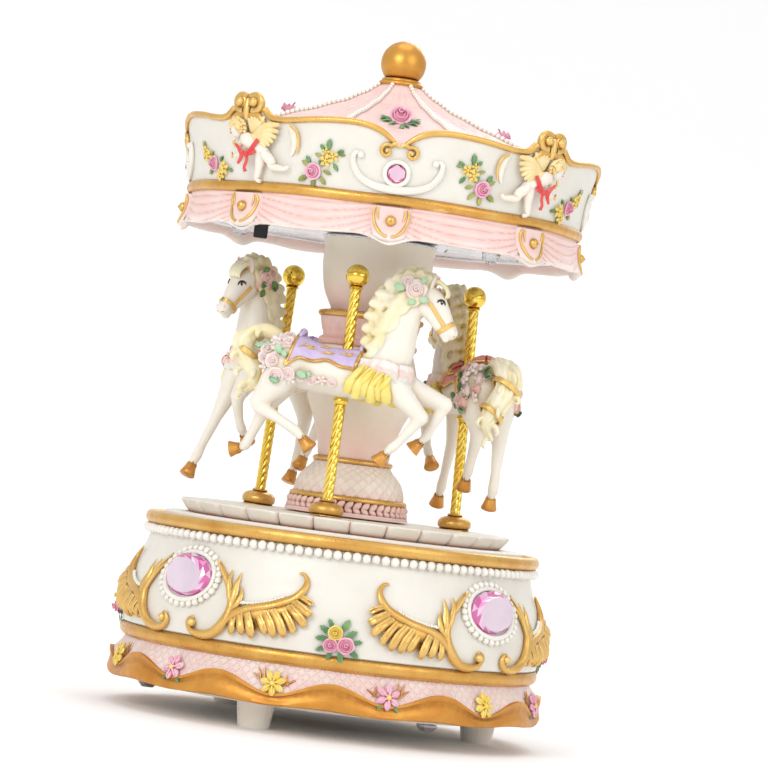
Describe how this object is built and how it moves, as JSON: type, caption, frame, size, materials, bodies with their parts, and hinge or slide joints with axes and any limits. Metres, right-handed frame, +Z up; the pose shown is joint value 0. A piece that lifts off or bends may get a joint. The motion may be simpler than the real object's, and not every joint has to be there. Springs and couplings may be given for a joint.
{
  "type": "wind-up carousel music box",
  "caption": "Resin wind-up carousel music box: a drum base with a musical movement turns a petal platform, baluster column, pole horses and a lit tent canopy.",
  "frame": {"origin": "on the floor, on the vertical axis that the carousel turns about", "axes": "+Z up along the carousel's axis; -Y is the front, +X is the right seen from the front"},
  "size_m": [0.1144, 0.1144, 0.1817],
  "materials": {
    "ivory_resin": "painted cast resin, satin",
    "pink_resin": "painted cast resin, satin",
    "gold_paint": "antique gold paint on resin",
    "gold_plate": "polished gold plate",
    "white_plastic": "moulded, satin",
    "brass": "machined",
    "steel": "plain",
    "die_cast_zinc": "die cast zinc alloy",
    "pink_stone": "faceted, mirror backed",
    "silvered_plastic": "silvered",
    "clear_lens": "clear",
    "black_plastic": "moulded"
  },
  "bodies": {
    "base": {"base_shell": "ivory_resin", "bottom_cover": "white_plastic", "deck_bush": "brass", "cover_screw_1": "steel", "cover_screw_2": "steel", "cover_screw_3": "steel", "base_gem_1": "pink_stone", "base_gem_2": "pink_stone", "base_gem_3": "pink_stone", "base_gem_4": "pink_stone", "bedplate": "die_cast_zinc", "movement_screw_1": "steel", "movement_screw_2": "steel", "movement_screw_3": "steel", "drum_bracket": "die_cast_zinc", "comb": "steel", "comb_block": "die_cast_zinc", "comb_screw_1": "steel", "comb_screw_2": "steel", "governor_frame": "die_cast_zinc"},
    "carousel": {"spring_barrel": "brass", "barrel_cover": "brass", "mainspring": "steel", "drive_shaft": "steel", "turntable": "pink_resin", "column": "ivory_resin", "tie_rod": "steel", "canopy_shell": "ivory_resin", "finial": "gold_paint", "canopy_gem_1": "pink_stone", "canopy_gem_2": "pink_stone", "canopy_gem_3": "pink_stone", "canopy_gem_4": "pink_stone", "lamp_plate": "silvered_plastic", "led_1": "clear_lens", "led_2": "clear_lens", "led_3": "clear_lens", "switch_body": "white_plastic", "battery_holder": "white_plastic", "battery_door": "silvered_plastic", "button_cell_1": "steel", "button_cell_2": "steel", "button_cell_3": "steel", "pole_cup_1": "gold_paint", "pole_cup_2": "gold_paint", "pole_cup_3": "gold_paint", "pole_1": "gold_plate", "pole_2": "gold_plate", "pole_3": "gold_plate", "horse_1": "ivory_resin", "horse_2": "ivory_resin", "horse_3": "ivory_resin"},
    "winding_train": {"winding_arbor": "steel", "winding_key": "gold_plate"},
    "drum": {"drum_shaft": "steel", "music_drum": "brass", "drum_wheel": "brass"},
    "governor_arbor": {"governor_wheel": "brass"},
    "governor_fan": {"governor_worm": "steel"},
    "switch": {"switch_knob": "black_plastic"}
  },
  "joints": [
    {"name": "carousel_spin", "type": "hinge", "parent": "base", "child": "carousel", "pos_m": [0, 0, 0.05], "axis": [0, 0, 1], "continuous": true},
    {"name": "winding_key_turn", "type": "hinge", "parent": "base", "child": "winding_train", "pos_m": [0, 0, 0.01], "axis": [0, 0, 1], "range_deg": [0, 1080]},
    {"name": "drum_spin", "type": "hinge", "parent": "base", "child": "drum", "pos_m": [0.026, 0, 0.03383], "axis": [1, 0, 0], "continuous": true},
    {"name": "governor_wheel_spin", "type": "hinge", "parent": "base", "child": "governor_arbor", "pos_m": [0.0395, 0, 0.02491], "axis": [1, 0, 0], "continuous": true},
    {"name": "governor_fan_spin", "type": "hinge", "parent": "base", "child": "governor_fan", "pos_m": [0.0401, -0.00571, 0.03], "axis": [0, 0, 1], "continuous": true},
    {"name": "light_switch", "type": "slide", "parent": "carousel", "child": "switch", "axis": [0, 1, 0], "range_m": [0, 0.003]}
  ],
  "couplings": [
    {"joint": "drum_spin", "follows": "carousel_spin", "ratio": 4},
    {"joint": "governor_wheel_spin", "follows": "carousel_spin", "ratio": -12},
    {"joint": "governor_fan_spin", "follows": "carousel_spin", "ratio": -120}
  ]
}
